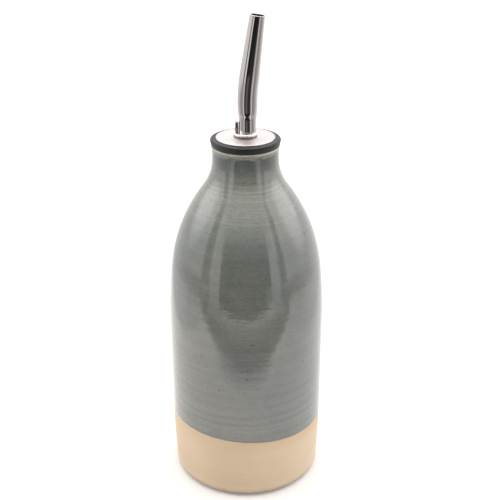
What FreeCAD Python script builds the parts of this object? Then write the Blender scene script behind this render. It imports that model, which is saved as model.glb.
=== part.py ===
# Ceramic oil bottle with a steel pourer: a thrown stoneware bottle, a ribbed rubber stopper,
# and a steel cap disc, stem, spout and breather tube. Sizes are in millimetres and degrees.
# Z runs up the bottle's axis from the middle of its foot, and the spout leans towards +X.
import FreeCAD, Part
import math
import os
import Sketcher

# The driving dimensions: name, value and what it is.
sizes = [
    ("bottle_height", 180.0, "foot to lip"),
    ("body_radius", 39.6, "outside of the straight wall"),
    ("wall", 5.0, "thickness of the body's wall"),
    ("floor", 6.0, "thickness of the bottle's floor"),
    ("floor_corner", 8.0, "inside radius between floor and wall"),
    ("foot_recess", 1.0, "hollow turned under the foot"),
    ("foot_ring", 7.0, "width of the ring that the bottle stands on"),
    ("foot_corner", 5.0, "outside radius at the foot"),
    ("heel_height", 36.0, "height at which the wall is full width"),
    ("heel_curve", 400.0, "radius of the wall below that height"),
    ("bend_drop", 92.0, "lip down to where the wall begins to bend in"),
    ("bend_run", 27.4, "height of that slow bend, up to the shoulder"),
    ("bend_curve", 273.0, "radius of the slow bend"),
    ("shoulder_curve", 86.5, "rough radius of the shoulder, which its neighbours settle"),
    ("neck_radius", 16.3, "outside of the neck at its narrowest"),
    ("neck_drop", 6.15, "lip down to that narrowest place"),
    ("neck_curve", 25.4, "radius of the hollow below the neck"),
    ("bore_radius", 11.0, "inside of the neck"),
    ("bore_depth", 9.0, "length of the neck's straight bore"),
    ("bore_flare", 24.0, "radius by which the bore opens below that"),
    ("lip_radius", 16.5, "outside of the lip"),
    ("lip_round", 0.9, "rounding of the lip's two edges"),
    ("flange_radius", 17.0, "stopper's flange at its widest"),
    ("flange_height", 3.2, "stopper's flange above the lip"),
    ("flange_round", 1.0, "rounding of the flange's top edge"),
    ("plug_length", 22.0, "stopper below the lip"),
    ("plug_radius", 8.2, "stopper's core between its fins"),
    ("plug_lead", 1.2, "bevel at the stopper's lower end"),
    ("fin_count", 5, "sealing fins round the plug"),
    ("fin_pitch", 3.9, "distance from one fin to the next"),
    ("fin_root", 1.5, "thickness of a fin at the core"),
    ("fin_edge", 0.6, "thickness of a fin at its edge"),
    ("fin_rise", 1.1, "how far a fin turns up towards the lip"),
    ("fin_gap", 0.08, "clearance of the fins in the neck"),
    ("disc_radius", 14.2, "cap disc"),
    ("disc_thickness", 0.8, "cap disc"),
    ("disc_round", 0.2, "rounding of the cap disc's top edge"),
    ("disc_rim", 2.2, "width of the cap disc's sloping rim"),
    ("disc_fall", 0.25, "fall of that rim"),
    ("stem_wall", 0.3, "thickness of the stem's tube"),
    ("stem_top", 1.2, "thickness of the stem's closed upper end"),
    ("stem_below", 3.0, "stem below the stopper"),
    ("collar_height", 2.0, "stem above the cap disc"),
    ("bead_radius", 0.42, "section radius of the bead round the stem's upper edge"),
    ("bead_proud", 0.15, "how far that bead stands out from the stem"),
    ("turn_gap", 0.05, "clearance of the stem in the stopper and the cap disc"),
    ("tube_gap", 0.12, "space between the spout and the breather tube"),
    ("tube_edge", 0.08, "space between those two and the inside of the stem"),
    ("braze_gap", 0.03, "clearance of both tubes in the stem"),
    ("spout_base", 4.15, "outside radius of the spout where it enters the stem"),
    ("spout_belly", 4.85, "outside radius of the spout at its widest"),
    ("spout_tip", 3.6, "outside radius of the spout's mouth"),
    ("spout_wall", 0.5, "thickness of the spout's tube"),
    ("spout_seat", 6.0, "spout inside the stem"),
    ("spout_neck", 3.5, "narrow part of the spout above the stem"),
    ("spout_swell", 10.0, "length over which the spout grows to its widest"),
    ("spout_bend", 92.0, "radius of the spout's bend"),
    ("spout_angle", 7.5, "lean of the spout's mouth from upright, in degrees"),
    ("spout_ease", 70.0, "radius that leads from the bend into the taper"),
    ("spout_run", 29.7, "straight length from the bend to the mouth"),
    ("breather_radius", 0.95, "outside of the breather tube"),
    ("breather_wall", 0.25, "thickness of the breather tube"),
    ("breather_stand", 5.0, "breather tube above the stem"),
    ("breather_below", 5.0, "straight part of the breather tube below the stem"),
    ("breather_bend", 8.0, "radius of the breather tube's bend"),
    ("breather_angle", 30.0, "turn of the breather tube's bend, in degrees"),
    ("breather_end", 4.0, "straight part after the bend"),
]


class Size:
    """A size or a sum of sizes: its text for an expression, and its number for a first drawing."""

    def __init__(self, text, number):
        self.text = text
        self.number = number

    def join(self, sign, other, number):
        return Size(f"({self.text} {sign} {other.text})", number)

    def __add__(self, other):
        other = as_size(other)
        return self.join("+", other, self.number + other.number)

    def __sub__(self, other):
        other = as_size(other)
        return self.join("-", other, self.number - other.number)

    def __mul__(self, other):
        other = as_size(other)
        return self.join("*", other, self.number * other.number)

    def __truediv__(self, other):
        other = as_size(other)
        return self.join("/", other, self.number / other.number)

    def __rsub__(self, other):
        return as_size(other) - self

    __radd__ = __add__
    __rmul__ = __mul__


class Guess:
    """A coordinate or radius that the sketch works out by itself, with a first value."""

    def __init__(self, size):
        self.number = as_size(size).number


def as_size(value):
    return value if isinstance(value, Size) else Size(str(value), float(value))


def sine(angle):
    return Size(f"sin({angle.text} * 1 deg)", math.sin(math.radians(angle.number)))


def cosine(angle):
    return Size(f"cos({angle.text} * 1 deg)", math.cos(math.radians(angle.number)))


def make_sheet(doc):
    """Writes the sizes into a spreadsheet and returns them by name."""
    sheet = doc.addObject("Spreadsheet::Sheet", "Sizes")
    named = {}
    for row, (name, value, note) in enumerate(sizes, start=1):
        sheet.set(f"A{row}", name)
        sheet.set(f"B{row}", str(value))
        sheet.set(f"C{row}", note)
        sheet.setAlias(f"B{row}", name)
        named[name] = Size(f"Sizes.{name}", float(value))
    doc.recompute()
    return named


def new_body(doc, name):
    body = doc.addObject("PartDesign::Body", name)
    body.Label = name
    return body


def origin_feature(body, role):
    return next(f for f in body.Origin.OriginFeatures if f.Role == role)


def new_sketch(body, name, role):
    sketch = body.newObject("Sketcher::SketchObject", name)
    sketch.AttachmentSupport = [(origin_feature(body, role), "")]
    sketch.MapMode = "FlatFace"
    return sketch


def bind(sketch, constraint, size):
    index = sketch.addConstraint(constraint)
    sketch.setExpression(f"Constraints[{index}]", size.text)


def pin(sketch, shape, point, x, y):
    """Ties a point to its coordinates. A zero lies on the axis, and a Guess stays free."""
    for value, kind, axis in ((x, "DistanceX", -2), (y, "DistanceY", -1)):
        if isinstance(value, Guess):
            continue
        if as_size(value).number == 0:
            sketch.addConstraint(Sketcher.Constraint("PointOnObject", shape, point, axis))
        else:
            distance = as_size(value)
            bind(sketch, Sketcher.Constraint(kind, -1, 1, shape, point, distance.number), distance)


class Outline:
    """A run of lines and arcs joined end to end, drawn from a starting point."""

    def __init__(self, sketch, x, y):
        self.sketch = sketch
        self.start = (x, y)
        self.here = self.vector(x, y)
        self.first = None
        self.last = None

    @staticmethod
    def vector(x, y):
        return FreeCAD.Vector(*(v.number if isinstance(v, Guess) else as_size(v).number for v in (x, y)), 0)

    def join(self, shape, begin, smooth):
        if self.last is None:
            self.first = (shape, begin)
            pin(self.sketch, shape, begin, *self.start)
        else:
            kind = "Tangent" if smooth else "Coincident"
            self.sketch.addConstraint(Sketcher.Constraint(kind, *self.last, shape, begin))

    def line(self, x, y, smooth=False):
        """A straight line to a point; smooth means that it leaves in the last one's direction."""
        there = self.vector(x, y)
        shape = self.sketch.addGeometry(Part.LineSegment(self.here, there))
        self.join(shape, 1, smooth)
        pin(self.sketch, shape, 2, x, y)
        self.here, self.last = there, (shape, 2)

    def arc(self, x, y, radius, turn, smooth=False, upright=None):
        """An arc to a point. A turn of 1 bends left and -1 right. It can begin or end upright."""
        there = self.vector(x, y)
        chord = there - self.here
        sweep = radius.number
        rise = math.sqrt(max(sweep ** 2 - (chord.Length / 2) ** 2, 0.0))
        left = FreeCAD.Vector(-chord.y, chord.x, 0).normalize()
        centre = (self.here + there) / 2 + left * (rise * turn)
        ends = [self.here, there][::turn]
        angles = [math.atan2(p.y - centre.y, p.x - centre.x) for p in ends]
        circle = Part.Circle(centre, FreeCAD.Vector(0, 0, 1), sweep)
        shape = self.sketch.addGeometry(Part.ArcOfCircle(circle, *angles))
        begin, end = (1, 2) if turn == 1 else (2, 1)
        self.join(shape, begin, smooth)
        pin(self.sketch, shape, end, x, y)
        if not isinstance(radius, Guess):
            bind(self.sketch, Sketcher.Constraint("Radius", shape, sweep), radius)
        if upright:
            level = begin if upright == "start" else end
            self.sketch.addConstraint(Sketcher.Constraint("Horizontal", shape, 3, shape, level))
        self.here, self.last = there, (shape, end)

    def close(self):
        """A straight line back to the first point."""
        shape = self.sketch.addGeometry(Part.LineSegment(self.here, self.vector(*self.start)))
        self.sketch.addConstraint(Sketcher.Constraint("Coincident", *self.last, shape, 1))
        self.sketch.addConstraint(Sketcher.Constraint("Coincident", shape, 2, *self.first))


def circle(sketch, x, radius):
    """A circle centred on the sketch's own x axis."""
    centre = FreeCAD.Vector(as_size(x).number, 0, 0)
    shape = sketch.addGeometry(Part.Circle(centre, FreeCAD.Vector(0, 0, 1), radius.number))
    pin(sketch, shape, 3, x, 0)
    bind(sketch, Sketcher.Constraint("Radius", shape, radius.number), radius)


def revolve(body, sketch, name):
    feature = body.newObject("PartDesign::Revolution", name)
    feature.Profile = sketch
    feature.ReferenceAxis = (sketch, ["V_Axis"])
    feature.Angle = 360
    sketch.Visibility = False
    return feature


def sweep(body, section, path, name):
    pipe = body.newObject("PartDesign::AdditivePipe", name)
    pipe.Profile = section
    pipe.Spine = (path, [f"Edge{n + 1}" for n in range(path.GeometryCount)])
    path.Visibility = False
    section.Visibility = False
    return pipe


def move_sketch(sketch, offset, lean=None):
    """Moves a sketch along its own three directions and turns it clockwise in its plane."""
    spot = FreeCAD.Vector(*(as_size(value).number for value in offset))
    turn = FreeCAD.Rotation(FreeCAD.Vector(0, 0, -1), lean.number if lean else 0)
    sketch.AttachmentOffset = FreeCAD.Placement(spot, turn)
    for letter, value in zip("xyz", offset):
        sketch.setExpression(f"AttachmentOffset.Base.{letter}", as_size(value).text)
    if lean:
        sketch.setExpression("AttachmentOffset.Rotation.Angle", lean.text)


def level_sketch(body, name, x, height):
    """A sketch in a level plane, with its origin off the bottle's axis."""
    sketch = new_sketch(body, name, "XY_Plane")
    move_sketch(sketch, (x, 0, height))
    return sketch


def upright_sketch(body, name, x, height, lean=None):
    """A sketch in the plane that the spout leans in, with its origin on the spout's line."""
    sketch = new_sketch(body, name, "XZ_Plane")
    move_sketch(sketch, (x, height, 0), lean)
    return sketch


def bottle(doc, d):
    """The stoneware bottle, thrown in one piece: foot, wall, shoulder, neck and lip."""
    body = new_body(doc, "bottle")
    sketch = new_sketch(body, "BottleProfile", "XZ_Plane")
    top = d["bottle_height"]
    radius = d["body_radius"]
    ring = radius - d["foot_corner"] - d["foot_ring"]
    draw = Outline(sketch, 0, d["foot_recess"])
    draw.line(ring, d["foot_recess"])
    draw.line(ring + d["foot_recess"], 0)
    draw.line(Guess(radius - d["foot_corner"] * 1.2), 0)
    draw.arc(Guess(radius - 1), Guess(d["foot_corner"]), d["foot_corner"], 1, smooth=True)
    draw.arc(radius, d["heel_height"], d["heel_curve"], 1, smooth=True)
    bend_low = top - d["bend_drop"]
    bend_high = bend_low + d["bend_run"]
    bend_in = d["bend_run"] * d["bend_run"] / d["bend_curve"] / 2
    draw.line(radius, bend_low, smooth=True)
    draw.arc(Guess(radius - bend_in), bend_high, d["bend_curve"], 1, smooth=True)
    neck = top - d["neck_drop"]
    draw.arc(Guess(d["neck_radius"] + d["neck_curve"] * 0.2), Guess(neck - d["neck_curve"] * 0.6),
             Guess(d["shoulder_curve"]), 1, smooth=True)
    draw.arc(d["neck_radius"], neck, d["neck_curve"], -1, smooth=True, upright="end")
    draw.arc(d["lip_radius"], top - d["lip_round"], Guess(d["neck_curve"] * 3), -1, smooth=True)
    draw.arc(d["lip_radius"] - d["lip_round"], top, d["lip_round"], 1)
    draw.line(d["bore_radius"] + d["lip_round"], top)
    draw.arc(d["bore_radius"], top - d["lip_round"], d["lip_round"], 1)
    draw.line(d["bore_radius"], top - d["bore_depth"])
    inner = radius - d["wall"]
    flare = d["bore_flare"]
    draw.arc(Guess(d["bore_radius"] + flare * 0.2), Guess(top - d["bore_depth"] - flare * 0.6),
             flare, 1, smooth=True)
    draw.arc(Guess(inner - bend_in), bend_high, Guess(d["shoulder_curve"] - d["wall"]), -1, smooth=True)
    draw.arc(inner, bend_low, d["bend_curve"] - d["wall"], -1, smooth=True)
    draw.line(inner, d["floor"] + d["floor_corner"], smooth=True)
    draw.arc(inner - d["floor_corner"], d["floor"], d["floor_corner"], -1)
    draw.line(0, d["floor"])
    draw.close()
    revolve(body, sketch, "BottleTurned")
    return body


def stopper(doc, d, stem_radius):
    """The rubber stopper: a flange on the lip, a plug in the neck and a ring of sealing fins."""
    body = new_body(doc, "stopper")
    lip = d["bottle_height"]
    low = lip - d["plug_length"]
    top = lip + d["flange_height"]
    bore = stem_radius + d["turn_gap"]
    sketch = new_sketch(body, "StopperProfile", "XZ_Plane")
    draw = Outline(sketch, bore, low)
    draw.line(bore, top)
    draw.line(d["flange_radius"] - d["flange_round"], top)
    draw.arc(d["flange_radius"], top - d["flange_round"], d["flange_round"], -1)
    draw.line(d["lip_radius"], lip)
    draw.line(d["plug_radius"], lip)
    draw.line(d["plug_radius"], low + d["plug_lead"])
    draw.line(d["plug_radius"] - d["plug_lead"], low)
    draw.close()
    revolve(body, sketch, "StopperTurned")

    sketch = new_sketch(body, "FinProfile", "XZ_Plane")
    root = d["plug_radius"] - d["fin_edge"]
    edge = d["bore_radius"] - d["fin_gap"]
    base = low + d["plug_lead"]
    draw = Outline(sketch, root, base)
    draw.line(edge, base + d["fin_rise"])
    draw.line(edge, base + d["fin_rise"] + d["fin_edge"])
    draw.line(root, base + d["fin_root"])
    draw.close()
    fin = revolve(body, sketch, "Fin")
    fins = body.newObject("PartDesign::LinearPattern", "Fins")
    fins.Originals = [fin]
    fins.Direction = (origin_feature(body, "Z_Axis"), [""])
    fins.setExpression("Length", (d["fin_pitch"] * (d["fin_count"] - 1)).text)
    fins.setExpression("Occurrences", d["fin_count"].text)
    body.Tip = fins
    return body


def cap_disc(doc, d, stem_radius):
    """The round steel plate on the flange, with its rim pressed down."""
    body = new_body(doc, "cap_disc")
    seat = d["bottle_height"] + d["flange_height"]
    top = seat + d["disc_thickness"]
    bore = stem_radius + d["turn_gap"]
    sketch = new_sketch(body, "DiscProfile", "XZ_Plane")
    draw = Outline(sketch, bore, seat)
    draw.line(d["disc_radius"], seat)
    rim = top - d["disc_fall"]
    draw.line(d["disc_radius"], rim - d["disc_round"])
    draw.arc(d["disc_radius"] - d["disc_round"], rim, d["disc_round"], 1)
    draw.line(d["disc_radius"] - d["disc_rim"], top)
    draw.line(bore, top)
    draw.close()
    revolve(body, sketch, "DiscTurned")
    return body


def stem(doc, d, stem_bore, collar_top, spout_x, breather_x):
    """The steel sleeve through disc and stopper, beaded and closed at the top round the two tubes."""
    body = new_body(doc, "stem")
    outer = stem_bore + d["stem_wall"]
    bead = d["bead_radius"]
    proud = outer + d["bead_proud"]
    low = d["bottle_height"] - d["plug_length"] - d["stem_below"]
    sketch = new_sketch(body, "StemProfile", "XZ_Plane")
    draw = Outline(sketch, stem_bore, low)
    draw.line(outer, low)
    draw.line(outer, Guess(collar_top - bead * 1.8))
    draw.arc(proud, collar_top - bead, bead, 1, upright="end")
    draw.arc(proud - bead, collar_top, bead, 1)
    draw.line(0, collar_top)
    draw.line(0, collar_top - d["stem_top"])
    draw.line(stem_bore, collar_top - d["stem_top"])
    draw.close()
    revolve(body, sketch, "StemTurned")

    holes = level_sketch(body, "TubeHoles", 0, collar_top)
    circle(holes, spout_x, d["spout_base"] + d["braze_gap"])
    circle(holes, breather_x, d["breather_radius"] + d["braze_gap"])
    pocket = body.newObject("PartDesign::Pocket", "TubePocket")
    pocket.Profile = holes
    pocket.setExpression("Length", (d["stem_top"] * 2).text)
    holes.Visibility = False
    return body


def spout(doc, d, collar_top, spout_x):
    """The spout's tube: swaged narrow for the stem, bent above it, and drawn to its mouth."""
    body = new_body(doc, "spout")
    wall = d["spout_wall"]
    belly = d["spout_belly"]
    lean = d["spout_angle"]
    foot = collar_top - d["spout_seat"]
    neck = collar_top + d["spout_neck"]
    shoulder = neck + d["spout_swell"]

    lower = upright_sketch(body, "SpoutLowerProfile", spout_x, 0)
    middle = (neck + shoulder) / 2
    halfway = (d["spout_base"] + belly) / 2
    draw = Outline(lower, d["spout_base"] - wall, foot)
    draw.line(d["spout_base"], foot)
    draw.line(d["spout_base"], neck)
    draw.arc(halfway, middle, Guess(d["spout_swell"] * 2.5), -1, smooth=True)
    draw.arc(belly, shoulder, Guess(d["spout_swell"] * 2.5), 1, smooth=True)
    draw.line(belly - wall, shoulder)
    draw.arc(halfway - wall, middle, Guess(d["spout_swell"] * 2.5), -1, upright="start")
    draw.arc(d["spout_base"] - wall, neck, Guess(d["spout_swell"] * 2.5), 1, smooth=True)
    draw.close()
    revolve(body, lower, "SpoutLower")

    path = new_sketch(body, "SpoutBendPath", "XZ_Plane")
    bend_x = spout_x + d["spout_bend"] * (1 - cosine(lean))
    bend_z = shoulder + d["spout_bend"] * sine(lean)
    draw = Outline(path, spout_x, shoulder)
    draw.arc(bend_x, bend_z, d["spout_bend"], -1)
    ring = level_sketch(body, "SpoutBendSection", spout_x, shoulder)
    circle(ring, 0, belly)
    circle(ring, 0, belly - wall)
    sweep(body, ring, path, "SpoutBend")

    upper = upright_sketch(body, "SpoutUpperProfile", bend_x, bend_z, lean)
    draw = Outline(upper, belly, 0)
    slope = (belly - d["spout_tip"]) / d["spout_run"]
    ease_high = d["spout_ease"] * slope
    ease_in = ease_high * slope / 2
    draw.arc(Guess(belly - ease_in), Guess(ease_high), d["spout_ease"], 1, upright="start")
    draw.line(d["spout_tip"], d["spout_run"], smooth=True)
    draw.line(d["spout_tip"] - wall, d["spout_run"])
    draw.line(Guess(belly - wall - ease_in), Guess(ease_high))
    draw.arc(belly - wall, 0, d["spout_ease"] - wall, -1, smooth=True, upright="end")
    draw.close()
    revolve(body, upper, "SpoutUpper")
    return body


def breather_tube(doc, d, collar_top, breather_x):
    """The thin tube that lets air in: open beside the spout, and bent aside in the bottle."""
    body = new_body(doc, "breather_tube")
    high = collar_top + d["breather_stand"]
    low = d["bottle_height"] - d["plug_length"] - d["stem_below"] - d["breather_below"]
    turn = d["breather_angle"]
    bend = d["breather_bend"]
    path = new_sketch(body, "BreatherPath", "XZ_Plane")
    draw = Outline(path, breather_x, high)
    draw.line(breather_x, low)
    bend_x = breather_x - bend * (1 - cosine(turn))
    bend_z = low - bend * sine(turn)
    draw.arc(bend_x, bend_z, bend, -1)
    draw.line(bend_x - d["breather_end"] * sine(turn), bend_z - d["breather_end"] * cosine(turn))
    section = level_sketch(body, "BreatherSection", breather_x, high)
    circle(section, 0, d["breather_radius"])
    circle(section, 0, d["breather_radius"] - d["breather_wall"])
    sweep(body, section, path, "BreatherPipe")
    return body


def faults(doc, parts):
    """Everything that failed to build, in words."""
    found = [f"{o.Name}: {o.State}" for o in doc.Objects if {"Invalid", "Error"} & set(o.State)]
    for part in parts:
        shape = part.Shape
        if shape.isNull() or not shape.isValid() or len(shape.Solids) != 1:
            found.append(f"{part.Label}: not one sound solid")
    return found


def build():
    doc = FreeCAD.newDocument("OilBottle")
    d = make_sheet(doc)
    stem_bore = d["tube_edge"] + d["breather_radius"] + d["tube_gap"] / 2 + d["spout_base"]
    stem_radius = stem_bore + d["stem_wall"]
    spout_x = stem_bore - d["tube_edge"] - d["spout_base"]
    breather_x = d["tube_edge"] + d["breather_radius"] - stem_bore
    collar_top = d["bottle_height"] + d["flange_height"] + d["disc_thickness"] + d["collar_height"]
    parts = [
        bottle(doc, d),
        stopper(doc, d, stem_radius),
        cap_disc(doc, d, stem_radius),
        stem(doc, d, stem_bore, collar_top, spout_x, breather_x),
        spout(doc, d, collar_top, spout_x),
        breather_tube(doc, d, collar_top, breather_x),
    ]
    doc.recompute()
    wrong = faults(doc, parts)
    if wrong:
        raise SystemExit("\n".join(wrong))
    os.makedirs("parts", exist_ok=True)
    for part in parts:
        part.Shape.exportStep(f"parts/{part.Label}.step")
        box = part.Shape.BoundBox
        print(f"{part.Label}: {part.Shape.Volume:.1f} mm3, x {box.XMin:.2f} to {box.XMax:.2f}, "
              f"z {box.ZMin:.2f} to {box.ZMax:.2f}")


build()
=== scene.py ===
# Ceramic oil bottle with a steel pourer, dressed round its CAD frame. Sizes are millimetres, unless a note says so.
import math
import bmesh
import bpy
import numpy as np
from mathutils import Matrix, Vector


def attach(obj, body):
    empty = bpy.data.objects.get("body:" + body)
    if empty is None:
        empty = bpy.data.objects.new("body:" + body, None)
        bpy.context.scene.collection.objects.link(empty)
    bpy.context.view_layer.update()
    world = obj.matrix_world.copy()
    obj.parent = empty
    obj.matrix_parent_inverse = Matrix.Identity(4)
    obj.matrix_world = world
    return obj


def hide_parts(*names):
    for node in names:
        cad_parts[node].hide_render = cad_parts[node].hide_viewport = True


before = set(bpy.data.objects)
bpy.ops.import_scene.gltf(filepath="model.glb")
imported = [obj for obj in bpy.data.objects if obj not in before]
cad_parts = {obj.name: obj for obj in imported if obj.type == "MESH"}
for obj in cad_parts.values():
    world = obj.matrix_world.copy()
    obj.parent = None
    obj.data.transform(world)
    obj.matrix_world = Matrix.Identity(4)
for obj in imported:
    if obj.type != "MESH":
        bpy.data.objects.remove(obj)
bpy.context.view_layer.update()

scene = bpy.context.scene
mm = 0.001


class Wire:
    # One socket of a shader tree. Arithmetic on it adds Math nodes, and node() adds any other kind.
    def __init__(self, tree, made=None, outlet=0):
        self.tree = tree
        self.made = made
        self.socket = made.outputs[outlet] if made and made.outputs else None

    def node(self, kind, settings=None, sockets=None, outlet=0):
        # a new node: its settings first, then the values or links of its sockets
        made = self.tree.nodes.new(kind)
        for key, value in (settings or {}).items():
            setattr(made, key, value)
        for key, value in (sockets or {}).items():
            if isinstance(value, Wire):
                self.tree.links.new(value.socket, made.inputs[key])
            else:
                made.inputs[key].default_value = value
        return Wire(self.tree, made, outlet)

    def outlet(self, name):
        # another outlet of the same node
        return Wire(self.tree, self.made, name)

    def maths(self, operation, *values):
        return self.node("ShaderNodeMath", {"operation": operation}, dict(enumerate(values)))

    def __add__(self, other):
        return self.maths("ADD", self, other)

    def __sub__(self, other):
        return self.maths("SUBTRACT", self, other)

    def __rsub__(self, other):
        return self.maths("SUBTRACT", other, self)

    def __mul__(self, other):
        return self.maths("MULTIPLY", self, other)

    __radd__ = __add__
    __rmul__ = __mul__

    def rise(self, low, high):
        # 0 below low, 1 above high, and a smooth step between them
        return self.node("ShaderNodeMapRange", {"interpolation_type": "SMOOTHSTEP"},
                         {"Value": self, "From Min": low, "From Max": high})

    def within(self, low, high, soft):
        # 1 between low and high, with edges that are soft wide
        return self.rise(low - soft, low + soft) * (1 - self.rise(high - soft, high + soft))

    def between(self, first, second):
        # the first number where this mask is 0 and the second where it is 1
        return self * (second - first) + first

    def mixed(self, first, second):
        # the first colour where this mask is 0 and the second where it is 1
        return self.node("ShaderNodeMix", {"data_type": "RGBA"}, {"Factor": self, 6: first, 7: second}, 2)

    def noise(self, place, stretch, detail=2.0, rough=0.5):
        # noise with features of about 1 / stretch metres along each axis
        spot = self.node("ShaderNodeMapping", None, {"Vector": place, "Scale": stretch})
        return self.node("ShaderNodeTexNoise", None,
                         {"Vector": spot, "Scale": 1.0, "Detail": detail, "Roughness": rough})


def bend(start, end, radius, turn, count):
    # Points on the arc between two points: centre = chord's middle + turn x left normal x sqrt(radius^2 - half chord^2)
    start, end = np.array(start, float), np.array(end, float)
    half = (end - start) / 2
    length = np.hypot(*half)
    left = np.array([-half[1], half[0]]) / length
    centre = start + half + turn * left * math.sqrt(max(radius ** 2 - length ** 2, 0))
    first, last = (math.atan2(*(point - centre)[::-1]) for point in (start, end))
    swing = (last - first + math.pi) % (2 * math.pi) - math.pi
    angle = first + swing * np.linspace(0, 1, count)
    return centre + radius * np.stack([np.cos(angle), np.sin(angle)], -1)


def run(start, end, count, hold=0.12):
    # Points on a line, start + share x (end - start): evenly spaced, and one by each end to hold the corner's shading
    start, end = np.array(start, float), np.array(end, float)
    pinch = min(hold / np.hypot(*(end - start)), 0.3)
    share = np.sort(np.append(np.linspace(0, 1, count), [pinch, 1 - pinch]))
    return start + share[:, None] * (end - start)


def joined(*parts):
    # One outline from several, without the points where they meet twice
    outline = np.vstack(parts)
    step = np.hypot(*np.diff(outline, axis=0).T)
    return outline[np.append(True, step > 1e-6)]


def turned(outline, around, lean=0.0, along=None):
    # Rings of points: x = along x + radius cos t cos lean, y = radius sin t, z = along z - radius cos t sin lean
    t = np.linspace(0, 2 * math.pi, around, endpoint=False)
    radius = outline[:, :1]
    axis = outline * [0, 1] if along is None else along
    lean = np.broadcast_to(lean, len(outline))[:, None]
    x = axis[:, :1] + radius * np.cos(t) * np.cos(lean)
    y = radius * np.sin(t) + 0 * lean
    z = axis[:, 1:] - radius * np.cos(t) * np.sin(lean)
    return np.stack([x, y, z], -1)


def makePiece(name, points, body, material, node, closed=False):
    # A skin over the net points[row, column]: columns join round, and rows too where the outline is closed
    rows, columns = points.shape[:2]
    index = np.arange(rows * columns).reshape(rows, columns)
    lower = index if closed else index[:-1]
    upper = np.roll(index, -1, 0) if closed else index[1:]
    quads = np.stack([lower, np.roll(lower, -1, 1), np.roll(upper, -1, 1), upper], -1).reshape(-1, 4)
    mesh = bpy.data.meshes.new(name)
    mesh.from_pydata(points.reshape(-1, 3) * mm, [], quads.tolist())
    work = bmesh.new()
    work.from_mesh(mesh)
    bmesh.ops.remove_doubles(work, verts=work.verts, dist=1e-7)
    bmesh.ops.recalc_face_normals(work, faces=work.faces)
    work.to_mesh(mesh)
    work.free()
    mesh.polygons.foreach_set("use_smooth", np.ones(len(mesh.polygons), bool))
    mesh.materials.append(material)
    piece = bpy.data.objects.new(name, mesh)
    scene.collection.objects.link(piece)
    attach(piece, body)
    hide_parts(node)
    print("made", name, len(mesh.polygons), "faces")


def newMaterial(name, **settled):
    # A Principled material with its constant values set, and the wire that its patterns start from
    material = bpy.data.materials.new(name)
    material.use_nodes = True
    tree = material.node_tree
    shader = tree.nodes["Principled BSDF"]
    for key, value in settled.items():
        shader.inputs[key.replace("_", " ")].default_value = value
    wire = Wire(tree)
    place = wire.node("ShaderNodeTexCoord", outlet="Object")
    return material, shader, wire, place


def plug(wire, shader, **sources):
    # Links each source to the shader's socket of that name
    for key, source in sources.items():
        wire.tree.links.new(source.socket, shader.inputs[key.replace("_", " ")])


# The stoneware bottle

bottleShape = {
    "skin": 0.03,                    # how far the glaze lies inside the CAD surface
    "glazeThickness": 0.2,           # step down from glaze to bare clay
    "glazeStep": (-0.25, 0.35),      # where that step lies, from the glaze's line
    "glazeRoll": 0.07,               # thicker bead at the glaze's edge
    "rollMiddle": 0.8,
    "rollWidth": 0.6,
    "ringHeight": 0.012,             # throwing rings, from groove to crest
    "ringPitch": 4.2,
    "ringDrift": (0.16, 0.23),       # how far the pitch strays, and how fast up the wall
    "ringShares": (0.3, 0.2),        # of the spiral ring, and of a finer one that runs against it
    "finerRing": 1.618,
    "clayRings": 0.35,               # share of the rings that the turned clay keeps
    "wander": 0.09,                  # slow unevenness of the thrown wall
    "wanderWaves": [(0.25, 2, 0.031, 1.1), (0.15, 3, -0.055, 0), (0.1, 5, 0.12, 0)],  # share, lobes, twist, start
    "footFade": (3.5, 8.0),
    "lipFade": (176.5, 179.0),
    "around": 228,
}
# Corners of the thrown profile, as radius and height
bottleCorners = {
    "recess": (27.6, 1), "footIn": (28.6, 0), "footOut": (33.3817, 0), "heel": (38.3662, 4.6076),
    "wallLow": (39.6, 36), "wallHigh": (39.6, 88), "shoulder": (38.2215, 115.4), "waist": (21.3713, 158.6217),
    "neck": (16.3, 173.85), "lipOut": (16.5, 179.1), "lipTop": (15.6, 180),
    "mouthTop": (11.9, 180), "mouth": (11, 179.1), "throat": (11, 171), "funnel": (16.4106, 155.82),
    "inShoulder": (33.1956, 115.4), "inHigh": (34.6, 88), "inLow": (34.6, 14), "inFloor": (26.6, 6),
}
# Radii of the arcs that lead to those corners
bottleRadii = {
    "heel": 5, "wallLow": 400, "shoulder": 273, "waist": 86.5863, "neck": 25.4, "lipOut": 69.0062, "lipTop": 0.9,
    "mouth": 0.9, "funnel": 24, "inShoulder": 76.2264, "inHigh": 268, "inFloor": 8,
}
glazeLine = {"height": 34.0, "slopeX": -0.041, "slopeY": -0.027, "wobble": 0.3, "radius": 39.6}


def glazeHeight(x, y):
    # Height of the glaze's edge: a tilted plane, and two slow waves as products of x and y
    line = glazeLine
    r2 = line["radius"] ** 2
    wave = x * y * (line["wobble"] / r2) + (x * x - y * y) * x * (line["wobble"] / r2 / line["radius"])
    return x * line["slopeX"] + y * line["slopeY"] + wave + line["height"]


def smooth(low, high, value):
    # 0 to 1 as value goes from low to high, along 3 s^2 - 2 s^3
    share = np.clip((value - low) / (high - low), 0, 1)
    return share * share * (3 - 2 * share)


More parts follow.
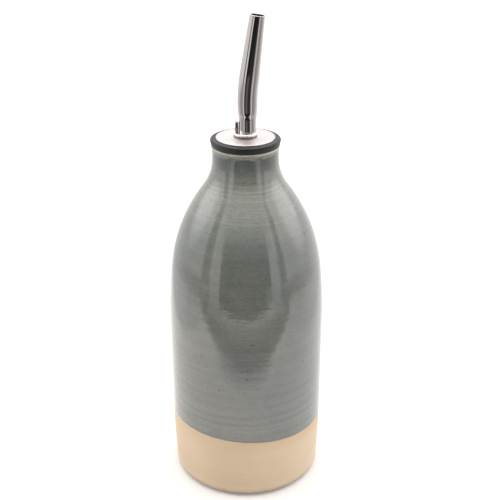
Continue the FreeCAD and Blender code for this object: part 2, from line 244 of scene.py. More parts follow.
def bottleOutline():
    # Lines and tangent arcs from the middle of the foot, up the outside, over the lip and down the inside
    c = bottleCorners

    def arc(first, last, side, count):
        # the arc from one corner to the next, with the radius named for its end
        return bend(c[first], c[last], bottleRadii[last], side, count)

    outside = [
        run((0, c["recess"][1]), c["recess"], 6), run(c["recess"], c["footIn"], 3), run(c["footIn"], c["footOut"], 3),
        arc("footOut", "heel", 1, 14), arc("heel", "wallLow", 1, 96), np.linspace(c["wallLow"], c["wallHigh"], 84),
        arc("wallHigh", "shoulder", 1, 40), arc("shoulder", "waist", 1, 64), arc("waist", "neck", -1, 30),
        arc("neck", "lipOut", -1, 8), arc("lipOut", "lipTop", 1, 8),
    ]
    inside = [
        run(c["lipTop"], c["mouthTop"], 3), arc("mouthTop", "mouth", 1, 7), run(c["mouth"], c["throat"], 4),
        arc("throat", "funnel", 1, 10), arc("funnel", "inShoulder", -1, 22), arc("inShoulder", "inHigh", -1, 6),
        run(c["inHigh"], c["inLow"], 5), arc("inLow", "inFloor", -1, 8), run(c["inFloor"], (0, c["inFloor"][1]), 4),
    ]
    return joined(*outside, *inside)


def bottlePoints():
    # Outside radius = profile - skin - bare clay's step - rings - slow wander, all faded out at foot and lip
    shape = bottleShape
    points = turned(bottleOutline(), shape["around"])
    x, y, z = points[..., 0], points[..., 1], points[..., 2]
    t = np.arctan2(y, x)
    outer = np.arange(len(points)) < np.argmax(points[:, 0, 2])
    worked = smooth(*shape["footFade"], z) * (1 - smooth(*shape["lipFade"], z)) * outer[:, None]
    above = z - glazeHeight(x, y)
    glazed = smooth(*shape["glazeStep"], above)
    bead = np.exp(-((above - shape["rollMiddle"]) / shape["rollWidth"]) ** 2)
    far, fast = shape["ringDrift"]
    spiral, finer = shape["ringShares"]
    turns = z / shape["ringPitch"] + far * np.sin(z * fast) + t / (2 * math.pi)
    finerTurns = shape["finerRing"] * z / shape["ringPitch"]
    rings = 0.5 + spiral * np.sin(2 * math.pi * turns) + finer * np.sin(2 * math.pi * finerTurns + 2)
    wander = 0.5 + sum(share * np.sin(lobes * t + z * twist + start)
                       for share, lobes, twist, start in shape["wanderWaves"])
    depth = shape["skin"] + shape["glazeThickness"] * (1 - glazed) - shape["glazeRoll"] * (bead - 1)
    kept = shape["clayRings"] + (1 - shape["clayRings"]) * glazed
    depth = depth + shape["ringHeight"] * rings * kept + shape["wander"] * wander
    scale = 1 - worked * depth / np.maximum(np.hypot(x, y), 1)
    return np.stack([x * scale, y * scale, z], -1)


glazeLook = {
    "glaze": (0.112, 0.117, 0.106, 1),
    "glazeDeep": (0.073, 0.082, 0.077, 1),
    "glazePale": (0.174, 0.175, 0.151, 1),
    "glazeCool": (0.092, 0.117, 0.105, 1),
    "glazeCream": (0.265, 0.270, 0.195, 1),
    "clay": (0.570, 0.428, 0.274, 1),
    "clayPale": (0.638, 0.508, 0.352, 1),
    "flash": (0.555, 0.350, 0.196, 1),     # warm edge of the clay beside the glaze
    "iron": (0.022, 0.018, 0.015, 1),
    # painted shade: dark brown for the bottom edge of the foot
    "foot": (0.20, 0.12, 0.078, 1),
    "lipClay": (0.365, 0.335, 0.253, 1),   # glaze worn thin on the lip's edge
    "glazeRough": 0.055,
    "clayRough": 0.62,
    "index": 1.78,
    "relief": 0.00006,                     # depth of the bump, in metres
}
# Patterns: features per metre along each axis, detail, roughness, and the range that is spread from 0 to 1
glazePatterns = {
    "lines": ((9, 9, 420), 4.0, 0.62, 0.36, 0.66),         # throwing lines
    "fine": ((24, 24, 1500), 3.0, 0.6, 0.3, 0.7),
    "cloud": ((22, 22, 30), 3.0, 0.55, 0.32, 0.68),
    "mottle": ((520, 520, 1400), 3.0, 0.65, 0.35, 0.65),
    "cool": ((38, 38, 26), 3.0, 0.6, 0.46, 0.7),
    "flecks": ((420, 420, 2200), 3.0, 0.7, 0.54, 0.72),
    "ripple": ((16, 16, 640), 2.0, 0.5, 0.42, 0.58),
    "turning": ((14, 14, 900), 3.0, 0.6, 0.3, 0.7),        # turning lines of the clay
    "patches": ((30, 30, 34), 3.0, 0.5, 0.35, 0.7),
}
# How strongly each pattern shows
glazeShare = {
    "cloud": 0.35, "lines": 0.3, "neckLines": 0.25, "fine": 0.16, "neckFine": 0.4, "low": 0.75, "hollow": 0.42,
    "high": 0.8, "ripple": 0.42, "cool": 0.55, "warmHollow": 0.3, "mottle": 0.38, "flecks": 0.34, "edge": 0.45,
    "cream": 0.35, "creamFine": 0.45, "dots": 0.95, "scatter": 0.75,
    "turning": 0.3, "patches": 0.45, "grain": 0.18, "flash": 0.25, "flashRight": 0.5, "foot": 0.85,
    # and how far each stands out of the surface
    "linesHigh": 0.35, "fineHigh": 0.12, "swirlHigh": 2.4, "mottleHigh": 0.16, "rippleHigh": 0.7,
    "grainHigh": 0.5, "turningHigh": 0.6, "dotsDeep": 0.25,
}
# Heights between which the glaze changes: low and high end, and softness where it is a band
glazeBands = {
    "high": (169, 175), "hollow": (158, 169, 4), "neck": (149, 171, 5), "low": (38, 72), "rippled": (44, 84),
    "worn": (178.4, 179.0), "thin": (177.2, 177.8), "stained": (0.5, 1.9),
}
# Cream rings round the shoulder: low and high edge, softness and strength
creamRings = [
    (162.3, 162.6, 0.4, 1.0), (164.7, 164.9, 0.3, 0.5), (167.0, 167.2, 0.3, 0.4),
    (160.7, 160.9, 0.3, 0.6), (158.6, 158.8, 0.3, 0.5), (149.2, 149.5, 0.4, 0.6),
]
# Iron specks that stand out, as azimuth from the front towards +X, height and radius
ironSpecks = [
    (-34, 82, 0.55), (1, 78, 0.5), (0.5, 72.5, 0.45), (-14, 70.5, 0.4), (-20, 65, 0.45), (-3, 65, 0.35),
    (46, 76, 0.4), (4, 92, 0.4), (-4, 103, 0.4), (-52, 75, 0.35), (-44, 58, 0.35), (2, 58.5, 0.3),
    (96, 88, 0.5), (150, 66, 0.55), (171, 104, 0.45), (-121, 71, 0.5), (-88, 96, 0.4), (-160, 58, 0.4),
]


def speck(wire, place, azimuth, height, radius):
    # 1 near a point of the wall and 0 away from it, by the distance to that point
    a, wall = math.radians(azimuth), 39.5
    spot = tuple(Vector((wall * math.sin(a), -wall * math.cos(a), height)) * mm)
    near = wire.node("ShaderNodeVectorMath", {"operation": "DISTANCE"}, {0: place, 1: spot}, "Value")
    return 1 - (near * 1000).rise(radius * 0.5, radius * 1.35)


def glazedStoneware():
    # Glaze above its line and clay below it: each a colour mixed by noise and by height, over a bump of the same noise
    look, share, bands = glazeLook, glazeShare, glazeBands
    material, shader, wire, place = newMaterial("glazedStoneware", IOR=look["index"])
    axes = wire.node("ShaderNodeSeparateXYZ", None, {0: place})
    x, y, z = (axes.outlet(n) * 1000 for n in range(3))
    above = z - glazeHeight(x, y) + (wire.noise(place, (260, 260, 260)) - 0.5) * 0.5
    glazed = above.rise(-0.12, 0.12)
    lines, fine, cloud, mottle, cool, flecks, ripple, turning, patches = (
        wire.noise(place, stretch, detail, rough).rise(low, high)
        for stretch, detail, rough, low, high in glazePatterns.values())
    swirl = wire.noise(place, (300, 300, 400), 3.0, 0.55)
    grain = wire.noise(place, (1500, 1500, 1500), 2.0, 0.7)

    # colour of the glaze: throwing lines, cloudy patches, fine mottle, paler in the waist's hollow, and paler and
    # warmer towards the bottom, partly its own tone and partly painted light from the floor
    hollow, neck = z.within(*bands["hollow"]), z.within(*bands["neck"])
    rippled = ripple * (1 - z.rise(*bands["rippled"]))
    pale = cloud * share["cloud"] + lines * (neck * share["neckLines"] + share["lines"])
    pale = pale + fine * (neck * share["neckFine"] + share["fine"])
    colour = pale.mixed(look["glaze"], look["glazePale"])
    # partly painted light: the glaze paler towards the bottom, standing in for the floor's light, and paler in the
    # waist's hollow
    thin = (1 - z.rise(*bands["low"])) * share["low"] + hollow * share["hollow"]
    colour = thin.mixed(colour, look["glazePale"])
    deep = z.rise(*bands["high"]) * share["high"] + rippled * share["ripple"]
    colour = deep.mixed(colour, look["glazeDeep"])
    colour = (cool * (share["cool"] - hollow * share["warmHollow"])).mixed(colour, look["glazeCool"])
    colour = (mottle * share["mottle"]).mixed(colour, look["glazeDeep"])
    colour = (flecks * share["flecks"]).mixed(colour, look["glazePale"])

    # cream rings, wavy and broken, the deeper edge, and the worn lip
    wavy = z + (wire.noise(place, (45, 45, 20), 2.0, 0.5) - 0.5) * 3.5
    rings = sum(wavy.within(low, high, soft) * strength for low, high, soft, strength in creamRings)
    colour = (rings * (fine * share["creamFine"] + share["cream"])).mixed(colour, look["glazeCream"])
    colour = (above.within(0.0, 0.9, 0.5) * share["edge"]).mixed(colour, look["glazeDeep"])
    worn = z.rise(*bands["worn"]) * (fine * 0.3 + 0.5) + z.rise(*bands["thin"]) * 0.2
    colour = worn.mixed(colour, look["lipClay"])

    # iron specks: a few placed ones, and a scatter of very small ones
    dots = sum(speck(wire, place, *dot) for dot in ironSpecks)
    cells = wire.node("ShaderNodeTexVoronoi", {"feature": "F1"}, {"Vector": place, "Scale": 210.0}, "Distance")
    few = wire.node("ShaderNodeSeparateColor", None, {0: cells.outlet("Color")}).rise(0.955, 0.96)
    scatter = (1 - cells.rise(0.05, 0.13)) * few
    colour = (dots * share["dots"] + scatter * share["scatter"]).mixed(colour, look["iron"])

    # bare clay: fine grain, turning lines, a warm flash just under the glaze, and painted shade at its bottom edge
    clay = (turning * share["turning"] + patches * share["patches"]).mixed(look["clay"], look["clayPale"])
    clay = (grain.rise(0.55, 0.75) * share["grain"]).mixed(clay, look["flash"])
    flash = above.rise(-9, 0.5) * (x.rise(-10, 45) * share["flashRight"] + share["flash"])
    clay = flash.mixed(clay, look["flash"])
    # painted shade: the clay's lowest 2 mm darkened, standing in for the shadow under the foot's edge
    clay = ((1 - z.rise(*bands["stained"])) * share["foot"]).mixed(clay, look["foot"])
    skin = glazed.mixed(clay, colour)

    rough = glazed.between(look["clayRough"], look["glazeRough"]) + lines * 0.02
    glazeHigh = lines * share["linesHigh"] + fine * share["fineHigh"] + swirl * share["swirlHigh"]
    glazeHigh = glazeHigh + mottle * share["mottleHigh"] + rippled * share["rippleHigh"]
    clayHigh = grain * share["grainHigh"] + turning * share["turningHigh"]
    height = glazed.between(clayHigh, glazeHigh) - dots * share["dotsDeep"]
    relief = wire.node("ShaderNodeBump", None, {"Strength": 0.35, "Distance": look["relief"], "Height": height})
    plug(wire, shader, Base_Color=skin, Roughness=rough, Normal=relief)
    return material


makePiece("glazedBottle", bottlePoints(), "bottle", glazedStoneware(), "bottle")


# The rubber stopper, with its flange on the lip and its fins in the neck

stopperShape = {
    "around": 160, "bore": 5.59, "low": 158.0, "lip": 180.0, "high": 183.2, "disc": 14.2, "flange": 17.0,
    "flangeRound": 1.0, "flangeFoot": 16.6, "footRound": 0.3, "core": 8.2, "chamfer": 1.2,
    "footHeight": 0.25, "finPitch": 3.9, "fins": 5, "finEdge": 10.92, "finRound": 0.35,
    "finHeights": (0.2, 1.1, 1.7, 1.46),     # root below, edge below, edge above, root above
}


def stopperOutline():
    # Closed outline: up the bore, over the flange, down the plug past each fin, and back along the bottom
    s = stopperShape
    base = s["low"] + s["chamfer"]
    fins = []
    for low in base + s["finPitch"] * np.arange(s["fins"])[::-1]:
        rootLow, edgeLow, edgeHigh, rootHigh = (low + rise for rise in s["finHeights"])
        fins += [run((s["core"], rootHigh), (s["finEdge"], edgeHigh), 4, 0.05),
                 bend((s["finEdge"], edgeHigh), (s["finEdge"], edgeLow), s["finRound"], -1, 5),
                 run((s["finEdge"], edgeLow), (s["core"], rootLow), 4, 0.05)]
    boreLow, boreHigh, disc = (s["bore"], s["low"]), (s["bore"], s["high"]), (s["disc"], s["high"])
    flat, side = (s["flange"] - s["flangeRound"], s["high"]), (s["flange"], s["high"] - s["flangeRound"])
    foot, seat = (s["flangeFoot"], s["lip"] + s["footHeight"]), (s["flangeFoot"] - s["footRound"], s["lip"])
    end = (s["core"] - s["chamfer"], s["low"])
    return joined(
        run(boreLow, boreHigh, 6, 0.1), run(boreHigh, disc, 3), run(disc, flat, 3),
        bend(flat, side, s["flangeRound"], -1, 10), run(side, foot, 4, 0.05),
        bend(foot, seat, s["footRound"], -1, 5), run(seat, (s["core"], s["lip"]), 4),
        *fins, run((s["core"], base), end, 3), run(end, boreLow, 2))


rubberLook = {
    "rubber": (0.006, 0.006, 0.0075, 1), "bloom": (0.014, 0.014, 0.017, 1), "dust": (0.09, 0.09, 0.09, 1),
    "bloomShare": 0.5, "dustShare": 0.35, "rough": 0.38, "bloomRough": 0.12, "index": 1.36, "relief": 0.00004,
}


def blackRubber():
    # Black, greyed by soft bloom and by fine dust, over moulding lines that run round it
    look = rubberLook
    material, shader, wire, place = newMaterial("blackRubber", IOR=look["index"])
    bloom = wire.noise(place, (240, 240, 240), 3.0, 0.6).rise(0.42, 0.72)
    dust = wire.noise(place, (2600, 2600, 2600), 1.0, 0.5).rise(0.62, 0.7)
    moulded = wire.noise(place, (60, 60, 2200), 2.0, 0.5)
    colour = (bloom * look["bloomShare"]).mixed(look["rubber"], look["bloom"])
    colour = (dust * look["dustShare"]).mixed(colour, look["dust"])
    height = moulded * 0.6 + dust * 0.4
    relief = wire.node("ShaderNodeBump", None, {"Strength": 0.25, "Distance": look["relief"], "Height": height})
    plug(wire, shader, Base_Color=colour, Roughness=bloom * look["bloomRough"] + look["rough"], Normal=relief)
    return material


makePiece("ribbedStopper", turned(stopperOutline(), stopperShape["around"]), "stopper",
          blackRubber(), "stopper", closed=True)


# The polished steel of the pourer

# Stretch gives the direction of the polishing lines: features per metre, few along a line and many across it
plateLook = {
    "steel": (0.58, 0.55, 0.54, 1), "shade": (0.49, 0.455, 0.445, 1), "rough": 0.42,
    "stretch": (700, 700, 700), "strength": 0.05,
}
stemLook = {
    "steel": (0.80, 0.76, 0.74, 1), "shade": (0.66, 0.60, 0.58, 1), "rough": 0.06,
    "stretch": (900, 900, 60), "strength": 0.12,
    # painted shade: the sleeve darkened at its foot, standing in for the shadow where it meets the plate
    "foot": (0.20, 0.15, 0.145, 1), "footShadeHeights": (184.7, 185.2),   # the dark line where the sleeve meets the plate
}
spoutLook = {
    "steel": (0.545, 0.505, 0.49, 1), "shade": (0.45, 0.41, 0.395, 1), "rough": 0.06,
    "stretch": (1300, 1300, 45), "strength": 0.12,
}
airLook = {**spoutLook, "stretch": (1500, 1500, 70)}
steelShare = {"smear": 0.25, "lines": 0.3, "smearRough": 0.05, "linesRough": 0.05, "relief": 0.00002}


def polishedSteel(name, look):
    # Steel darkened and roughened a little by broad smears and by fine lines, which also stand out as a bump, and with
    # painted shade at its foot where the look gives one
    material, shader, wire, place = newMaterial(name, Metallic=1.0)
    share = steelShare
    lines = wire.noise(place, look["stretch"], 3.0, 0.65)
    smear = wire.noise(place, (130, 130, 90), 2.0, 0.5).rise(0.35, 0.7)
    colour = (smear * share["smear"] + lines.rise(0.3, 0.8) * share["lines"]).mixed(look["steel"], look["shade"])
    # painted shade along the sleeve's foot, where it meets the plate
    if "foot" in look:
        height = wire.node("ShaderNodeSeparateXYZ", None, {0: place}).outlet(2) * 1000
        colour = (1 - height.rise(*look["footShadeHeights"])).mixed(colour, look["foot"])
    rough = smear * share["smearRough"] + lines.rise(0.45, 0.7) * share["linesRough"] + look["rough"]
    relief = wire.node("ShaderNodeBump", None,
                       {"Strength": look["strength"], "Distance": share["relief"], "Height": lines})
    plug(wire, shader, Base_Color=colour, Roughness=rough, Normal=relief)
    return material


discShape = {
    "around": 192, "radius": 14.2, "low": 183.2, "high": 184.0, "round": 0.2, "rim": 2.2, "fall": 0.25, "bore": 5.59,
    "ease": 0.35,     # half the width of the eased corner between the rim and the flat
}


def discOutline():
    # Closed outline: flat below, up round the edge, along the sloping rim, an eased corner, and the flat top
    d = discShape
    edge, fold, rim = d["radius"] - d["round"], d["radius"] - d["rim"], d["high"] - d["fall"]
    slope = d["fall"] / (edge - fold)
    corner, side = (d["radius"], d["low"]), (d["radius"], rim - d["round"])
    easeStart, easeEnd = (fold + d["ease"], d["high"] - d["ease"] * slope), (fold - d["ease"], d["high"])
    inLow, inHigh = (d["bore"], d["low"]), (d["bore"], d["high"])
    return joined(
        run(inLow, corner, 5), run(corner, side, 2), bend(side, (edge, rim), d["round"], 1, 9),
        run((edge, rim), easeStart, 5), bend(easeStart, easeEnd, 2 * d["ease"] / slope, 1, 6),
        run(easeEnd, inHigh, 10), run(inHigh, inLow, 2))


makePiece("capPlate", turned(discOutline(), discShape["around"]), "pourer",
          polishedSteel("spunSteel", plateLook), "cap_disc", closed=True)

stemShape = {
    "around": 128, "bore": 5.24, "outer": 5.54, "low": 155.0, "high": 186.0, "top": 1.2,
    "bead": 0.42, "proud": 0.15, "beadFoot": 185.258, "spoutX": 1.01, "spoutHole": 4.18, "topRings": 7,
}


def stemOutline():
    # The sleeve's outline from the edge of its closed top, round the bead, down the outside, and up the inside
    s = stemShape
    widest = (s["outer"] + s["proud"], s["high"] - s["bead"])
    foot, outLow, inLow = (s["outer"], s["beadFoot"]), (s["outer"], s["low"]), (s["bore"], s["low"])
    return joined(
        bend((widest[0] - s["bead"], s["high"]), widest, s["bead"], -1, 12), bend(widest, foot, s["bead"], -1, 8),
        run(foot, outLow, 8, 0.06), run(outLow, inLow, 2), run(inLow, (s["bore"], s["high"] - s["top"]), 6))


def stemPoints():
    # Rings of the flat top, from the spout's hole to the rim, then down the sleeve and back under the top:
    # flat = hole x (1 - share) + rim x share
    s = stemShape
    rings = turned(stemOutline(), s["around"])
    t = np.linspace(0, 2 * math.pi, s["around"], endpoint=False)
    hole = np.stack([s["spoutX"] + s["spoutHole"] * np.cos(t), s["spoutHole"] * np.sin(t), 0 * t], -1)
    share = np.linspace(0, 1, s["topRings"])[:, None, None]
    outRim, inRim = rings[0] * [1, 1, 0], rings[-1] * [1, 1, 0]
    top = hole * (1 - share) + outRim * share + [0, 0, s["high"]]
    under = hole * share + inRim * (1 - share) + [0, 0, s["high"] - s["top"]]
    return np.concatenate([top, rings[1:], under[1:]])


makePiece("steelStem", stemPoints(), "pourer",
          polishedSteel("drawnStemSteel", stemLook), "stem", closed=True)

spoutShape = {
    "around": 128, "x": 1.01, "foot": 180.0, "neck": 189.5, "belly": 199.5, "base": 4.15, "wide": 4.85,
    "swell": 35.8893,     # radius of the two arcs between the base and the full width
    "wall": 0.5, "bend": 92.0, "lean": 7.5, "run": 29.7, "ease": 3.1057, "easeRadius": 4.7811, "easeBend": 70.0,
    "tip": 3.6, "rimOut": 0.18, "rimIn": 0.17, "rimDraft": 0.008, "inDraft": 0.01,
    "insideFrom": 12,     # points of the outline at the rim that the inside leaves out
}


def spoutPoints():
    # Rings along the tube's line (upright, arc, straight), of the swaged, full and tapering radius
    s = spoutShape
    lean = math.radians(s["lean"])
    reach = s["bend"] * lean
    length = s["belly"] - s["foot"] + reach + s["run"]
    middle = ((s["base"] + s["wide"]) / 2, (s["neck"] + s["belly"]) / 2)
    swell = joined(bend((s["base"], s["neck"]), middle, s["swell"], -1, 9),
                   bend(middle, (s["wide"], s["belly"]), s["swell"], 1, 9))
    start = s["belly"] - s["foot"]
    tip, rimOut, rimIn = s["tip"], s["rimOut"], s["rimIn"]
    bendEnd, easeEnd = (s["wide"], start + reach), (s["easeRadius"], start + reach + s["ease"])
    outer = joined(
        run((s["base"], 0), (s["base"], s["neck"] - s["foot"]), 6), swell - [0, s["foot"]],
        run((s["wide"], start), bendEnd, 14, 0.5), bend(bendEnd, easeEnd, s["easeBend"], 1, 6),
        run(easeEnd, (tip + s["rimDraft"], length - rimOut), 26, 0.1),
        bend((tip + s["rimDraft"], length - rimOut), (tip - rimIn, length), rimOut, 1, 6))
    inner = (outer - [s["wall"], 0])[::-1][s["insideFrom"]:]
    bore = tip - s["wall"]
    lipIn = bend((bore + rimIn, length), (bore + s["inDraft"], length - rimIn), rimIn, 1, 6)
    outline = joined(outer, lipIn, inner)
    far = outline[:, 1]
    turn = np.clip((far - start) / s["bend"], 0, lean)
    past = np.maximum(far - start - reach, 0)
    x = s["x"] + s["bend"] * (1 - np.cos(turn)) + past * math.sin(lean)
    z = s["foot"] + np.minimum(far, start) + s["bend"] * np.sin(turn) + past * math.cos(lean)
    return turned(outline, s["around"], lean=turn, along=np.stack([x, z], -1))


makePiece("pouringSpout", spoutPoints(), "pourer",
          polishedSteel("drawnSpoutSteel", spoutLook), "spout", closed=True)

airShape = {
    "around": 48, "x": -4.21, "high": 191.0, "low": 150.0, "radius": 0.95, "wall": 0.25, "broken": 0.06,
    "bend": 8.0, "turn": 30.0, "end": 4.0,
}


def airPoints():
    # Rings down the thin tube's line: straight, an arc towards -X, and a short straight end
    s = airShape
    turn = math.radians(s["turn"])
    start = s["high"] - s["low"]
    length = start + s["bend"] * turn + s["end"]
    outer = joined(run((s["radius"], 0), (s["radius"], start), 12, 0.1),
                   run((s["radius"], start), (s["radius"], length - s["end"]), 12),
                   run((s["radius"], length - s["end"]), (s["radius"], length), 4, 0.1))
    inner = (outer - [s["wall"], 0])[::-1]
    outer[0, 0] -= s["broken"]
    inner[-1, 0] += s["broken"]
    outline = joined(outer, inner)
    far = outline[:, 1]
    swing = np.clip((far - start) / s["bend"], 0, turn)
    past = np.maximum(far - start - s["bend"] * turn, 0)
    x = s["x"] - s["bend"] * (1 - np.cos(swing)) - past * math.sin(turn)
    z = s["high"] - np.minimum(far, start) - s["bend"] * np.sin(swing) - past * math.cos(turn)
    return turned(outline, s["around"], lean=swing, along=np.stack([x, z], -1))


makePiece("airTube", airPoints(), "pourer",
          polishedSteel("drawnTubeSteel", airLook), "breather_tube", closed=True)


# Floor, light tent and camera

floorLook = {
    "thrown": (0.54, 0.516, 0.503, 1),      # throws this back on the object
    "mirrored": (0.87, 0.832, 0.81, 1),     # as glaze and steel mirror it
    "tableShown": (0.72, 0.689, 0.671, 1), "farShown": (0.88, 0.842, 0.82, 1),   # as the camera sees it
    "glow": 1.06, "glowShare": 0.12,        # white that the camera sees with it
    "table": 375.0, "far": 7000.0, "corners": 96,
}


def stageMaterial(name, shown):
    # Matt colours by kind of ray: the light thrown back, what gloss mirrors, and what the camera sees, with its glow
    look = floorLook
    material = bpy.data.materials.new(name)
    material.use_nodes = True
    material.node_tree.nodes.clear()
    wire = Wire(material.node_tree)
    rays = wire.node("ShaderNodeLightPath")
    thrown, mirrored, plain = (wire.node("ShaderNodeBsdfDiffuse", None, {"Color": colour})
                               for colour in (look["thrown"], look["mirrored"], shown))
    glow = wire.node("ShaderNodeEmission", None, {"Color": (1, 1, 1, 1), "Strength": look["glow"]})
    seen = wire.node("ShaderNodeMixShader", None, {0: look["glowShare"], 1: plain, 2: glow})
    matt = wire.node("ShaderNodeMixShader", None, {0: rays.outlet("Is Glossy Ray"), 1: thrown, 2: mirrored})
    both = wire.node("ShaderNodeMixShader", None, {0: rays.outlet("Is Camera Ray"), 1: matt, 2: seen})
    wire.node("ShaderNodeOutputMaterial", None, {"Surface": both})
    return material


def cardMaterial(name, level):
    # An even grey of its own brightness, for what only shows in reflections
    material = bpy.data.materials.new(name)
    material.use_nodes = True
    material.node_tree.nodes.clear()
    wire = Wire(material.node_tree)
    grey = wire.node("ShaderNodeEmission", None, {"Color": (1, 1, 1, 1), "Strength": level})
    wire.node("ShaderNodeOutputMaterial", None, {"Surface": grey})
    return material


def makeStage(name, corners, material, hidden=(), faces=None):
    # A flat sheet between corners given in millimetres, hidden from some kinds of ray
    mesh = bpy.data.meshes.new(name)
    mesh.from_pydata(np.array(corners, float) * mm, [], faces or [list(range(len(corners)))])
    mesh.materials.append(material)
    sheet = bpy.data.objects.new(name, mesh)
    scene.collection.objects.link(sheet)
    for kind in hidden:
        setattr(sheet, "visible_" + kind, False)


def makeFloor():
    # A round table top, radius x (cos t, sin t), and a ring of floor round it that polished metal doesn't mirror
    look = floorLook
    count = look["corners"]
    t = np.linspace(0, 2 * math.pi, count, endpoint=False)
    circle = np.stack([np.cos(t), np.sin(t), 0 * t], -1)
    near, far = circle * look["table"], circle * look["far"]
    ring = [[n, count + n, count + (n + 1) % count, (n + 1) % count] for n in range(count)]
    makeStage("tableTop", near, stageMaterial("paleTable", look["tableShown"]))
    makeStage("farFloor", np.concatenate([near, far]), stageMaterial("paleFloor", look["farShown"]), ("glossy",), ring)
    print("laid the floor and the table top")


makeFloor()

# Brightness by direction. Azimuths run from the camera's side towards +X; heights and reaches are degrees too
tent = {
    "strip": (1.15, 1.7), "side": (1.1, 1.7), "climb": (5, 24),      # walls: brightness low and high, where it climbs
    "stripToSide": (52, 78),
    "opening": 0.02, "dusk": 0.35, "duskClimb": (6, 30),             # the dark opening towards the camera
    "openSides": (-38.8, 36.3), "openSoft": 0.8, "openTop": (15, 42),
    "seam": 0.25, "seamLeft": (-69, -54.5, 1.5), "seamRight": (50.5, 61, 1.2), "seamTop": (30, 60),
    "roof": 1.1, "roofSides": (-50, 48, 8), "roofTop": (50, 70),     # over the opening
    "ceiling": 1.7, "ceilingClimb": (45, 75),
    # what lies beyond the table
    "rim": (-12, -6), "low": (0.34, 1.12), "lowClimb": (60, 135),
    "lowStrips": [(-68, -53, 2, 0.15), (-53, -39, 1.5, 0.5), (38, 51, 2, 0.55)],
    "lowOpening": 0.055, "lowSides": (-38.8, 29), "lowCentre": 0.13, "centreSides": (-22, -2, 4),
    # soft patches and small glints: azimuth, height, reach, brightness
    "patches": [(-106, 24, 27, 1.3), (104, 22, 28, 1.4), (140, 2, 34, 0.2), (-110, 15, 1.6, 3.0), (115, 12, 1.6, 3.0)],
}


def patch(wire, way, azimuth, height, reach, bright):
    # Brightest in its own direction and gone at its reach, by the cosine of the angle between
    a, e = math.radians(azimuth), math.radians(height)
    to = (math.sin(a) * math.cos(e), -math.cos(a) * math.cos(e), math.sin(e))
    near = wire.node("ShaderNodeVectorMath", {"operation": "DOT_PRODUCT"}, {0: way, 1: to}, "Value")
    return near.rise(math.cos(math.radians(reach)), math.cos(math.radians(reach * 0.3))) * bright


def makeTent():
    # Walls by height and azimuth, crossed by two seams, the opening with its roof, the ceiling, and patches on top
    world = bpy.data.worlds.new("whiteTent")
    scene.world = world
    world.use_nodes = True
    world.node_tree.nodes.clear()
    wire = Wire(world.node_tree)
    way = wire.node("ShaderNodeTexCoord", outlet="Generated")
    axes = wire.node("ShaderNodeSeparateXYZ", None, {0: way})
    x, y, z = (axes.outlet(n) for n in range(3))
    azimuth = x.maths("ARCTAN2", x, y * -1) * (180 / math.pi)
    height = z.maths("ARCSINE", z) * (180 / math.pi)
    aside = azimuth.maths("ABSOLUTE", azimuth)

    climb = height.rise(*tent["climb"])
    walls = aside.rise(*tent["stripToSide"]).between(climb.between(*tent["strip"]), climb.between(*tent["side"]))
    seams = azimuth.within(*tent["seamLeft"]) + azimuth.within(*tent["seamRight"])
    walls = walls * (1 - seams * (1 - height.rise(*tent["seamTop"])) * (1 - tent["seam"]))
    over = azimuth.within(*tent["roofSides"]) * (1 - height.rise(*tent["roofTop"]))
    walls = over.between(walls, tent["roof"])
    dark = azimuth.within(*tent["openSides"], tent["openSoft"]) * (1 - height.rise(*tent["openTop"]))
    walls = dark.between(walls, height.rise(*tent["duskClimb"]) * tent["dusk"] + tent["opening"])
    walls = walls + height.rise(*tent["ceilingClimb"]) * (tent["ceiling"] - tent["roof"])

    beyond = aside.rise(*tent["lowClimb"]).between(*tent["low"])
    for left, right, soft, more in tent["lowStrips"]:
        beyond = beyond + azimuth.within(left, right, soft) * more
    beyond = beyond * (1 - azimuth.within(*tent["lowSides"], tent["openSoft"])) + tent["lowOpening"]
    beyond = beyond + azimuth.within(*tent["centreSides"]) * tent["lowCentre"]

    level = height.rise(*tent["rim"]).between(beyond, walls) + sum(patch(wire, way, *spot) for spot in tent["patches"])
    seen = wire.node("ShaderNodeLightPath", outlet="Is Camera Ray")
    light = wire.node("ShaderNodeBackground", None, {"Color": (1, 1, 1, 1), "Strength": seen.between(level, 1)})
    wire.node("ShaderNodeOutputWorld", None, {"Surface": light})
    print("hung the tent with", len(tent["patches"]), "patches")


makeTent()

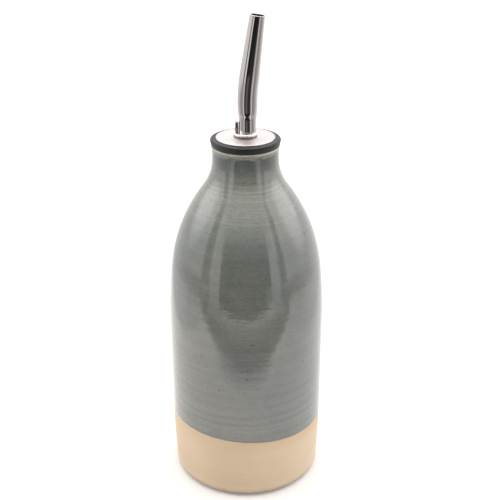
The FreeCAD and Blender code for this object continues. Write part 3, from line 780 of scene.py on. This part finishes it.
# Sheets on the table that show in the glaze: brightness, and corners seen from above
tableCards = {
    "openingCard": (0.02, [(-228, -287), (-90, -289), (215, -298), (232, -310), (110, -378), (-110, -378),
                           (-238, -296)]),
    "hemCard": (0.42, [(-238, -143), (-160, -150), (-60, -160), (40, -158), (120, -146), (243, -141),
                       (247, -216), (-243, -216)]),
    "hemFoldCard": (0.66, [(-243, -216), (247, -216), (250, -262), (0, -274), (-246, -268)]),
    "hemFringeCard": (1.2, [(-160, -150), (-60, -160), (40, -158), (120, -146), (60, -138), (0, -143), (-80, -139)]),
    "seamLeftCard": (0.3, [(-233, -170), (-229, -133), (-349, -148), (-303, -222)]),
    "seamRightCard": (0.3, [(236, -137), (243, -175), (296, -232), (334, -170)]),
    "stripLeftCard": (0.75, [(-233, -170), (-228, -287), (-238, -296), (-303, -222)]),
    "stripRightCard": (0.75, [(243, -175), (215, -298), (232, -310), (296, -232)]),
    "nearRightCard": (1.5, [(50, -120), (236, -137), (196, 20), (206, 314), (60, 300), (50, 60)]),
    "leftCard": (1.3, [(-229, -133), (-190, 20), (-200, 318), (-300, 226), (-368, 80), (-378, 10),
                       (-300, 10), (-280, -139)]),
    "rightCard": (1.3, [(236, -137), (290, -155), (300, 10), (378, 10), (368, 80), (300, 226), (206, 314), (196, 20)]),
    "leftOuterCard": (1.05, [(-280, -139), (-300, 10), (-378, 10), (-372, -60), (-349, -148)]),
    "rightOuterCard": (1.05, [(290, -155), (334, -170), (372, -60), (378, 10), (300, 10)]),
}
cardHeight = 0.4

for name, (level, corners) in tableCards.items():
    corners = [(x, y, cardHeight) for x, y in corners]
    makeStage(name, corners, cardMaterial(name, level), ("camera", "shadow", "diffuse"))
print("laid", len(tableCards), "cards")

lamp = {"place": (0.0, 30.0, 750.0), "size": 600.0, "radiance": 2.4}


def makeLamp():
    # A soft box overhead. Its power = radiance x pi x area
    box = bpy.data.lights.new("softBox", "AREA")
    box.size = lamp["size"] * mm
    box.energy = lamp["radiance"] * math.pi * (lamp["size"] * mm) ** 2
    hung = bpy.data.objects.new("softBox", box)
    hung.location = Vector(lamp["place"]) * mm
    hung.visible_camera = False
    scene.collection.objects.link(hung)
    print("hung the lamp,", round(box.energy, 2), "watts")


makeLamp()

cameraSpot = {
    "place": (0.0, -428.58, 320.79), "pitch": 0.4301, "yaw": 0.0048, "roll": 0.002,   # angles in radians
    "lens": 67.49, "sensor": 36.0, "clip": (0.01, 100.0),
}


def makeCamera():
    # The matrix's columns are its axes: forward = (sin yaw cos pitch, cos yaw cos pitch, -sin pitch), turned by roll
    c = cameraSpot
    cp, sp, cy, sy = math.cos(c["pitch"]), math.sin(c["pitch"]), math.cos(c["yaw"]), math.sin(c["yaw"])
    forward = np.array([sy * cp, cy * cp, -sp])
    up = np.array([sy * sp, cy * sp, cp])
    right = np.array([cy, -sy, 0.0])
    cr, sr = math.cos(c["roll"]), math.sin(c["roll"])
    across, upright = right * cr - up * sr, right * sr + up * cr
    matrix = np.eye(4)
    matrix[:3, :3] = np.stack([across, upright, -forward], -1)
    matrix[:3, 3] = np.array(c["place"]) * mm
    lens = bpy.data.cameras.new("photoLens")
    lens.sensor_width = c["sensor"]
    lens.lens = c["lens"]
    lens.clip_start, lens.clip_end = c["clip"]
    camera = bpy.data.objects.new("photoCamera", lens)
    camera.matrix_world = Matrix(matrix.tolist())
    scene.collection.objects.link(camera)
    scene.camera = camera
    print("set the camera")


makeCamera()
scene.view_settings.view_transform = "Standard"
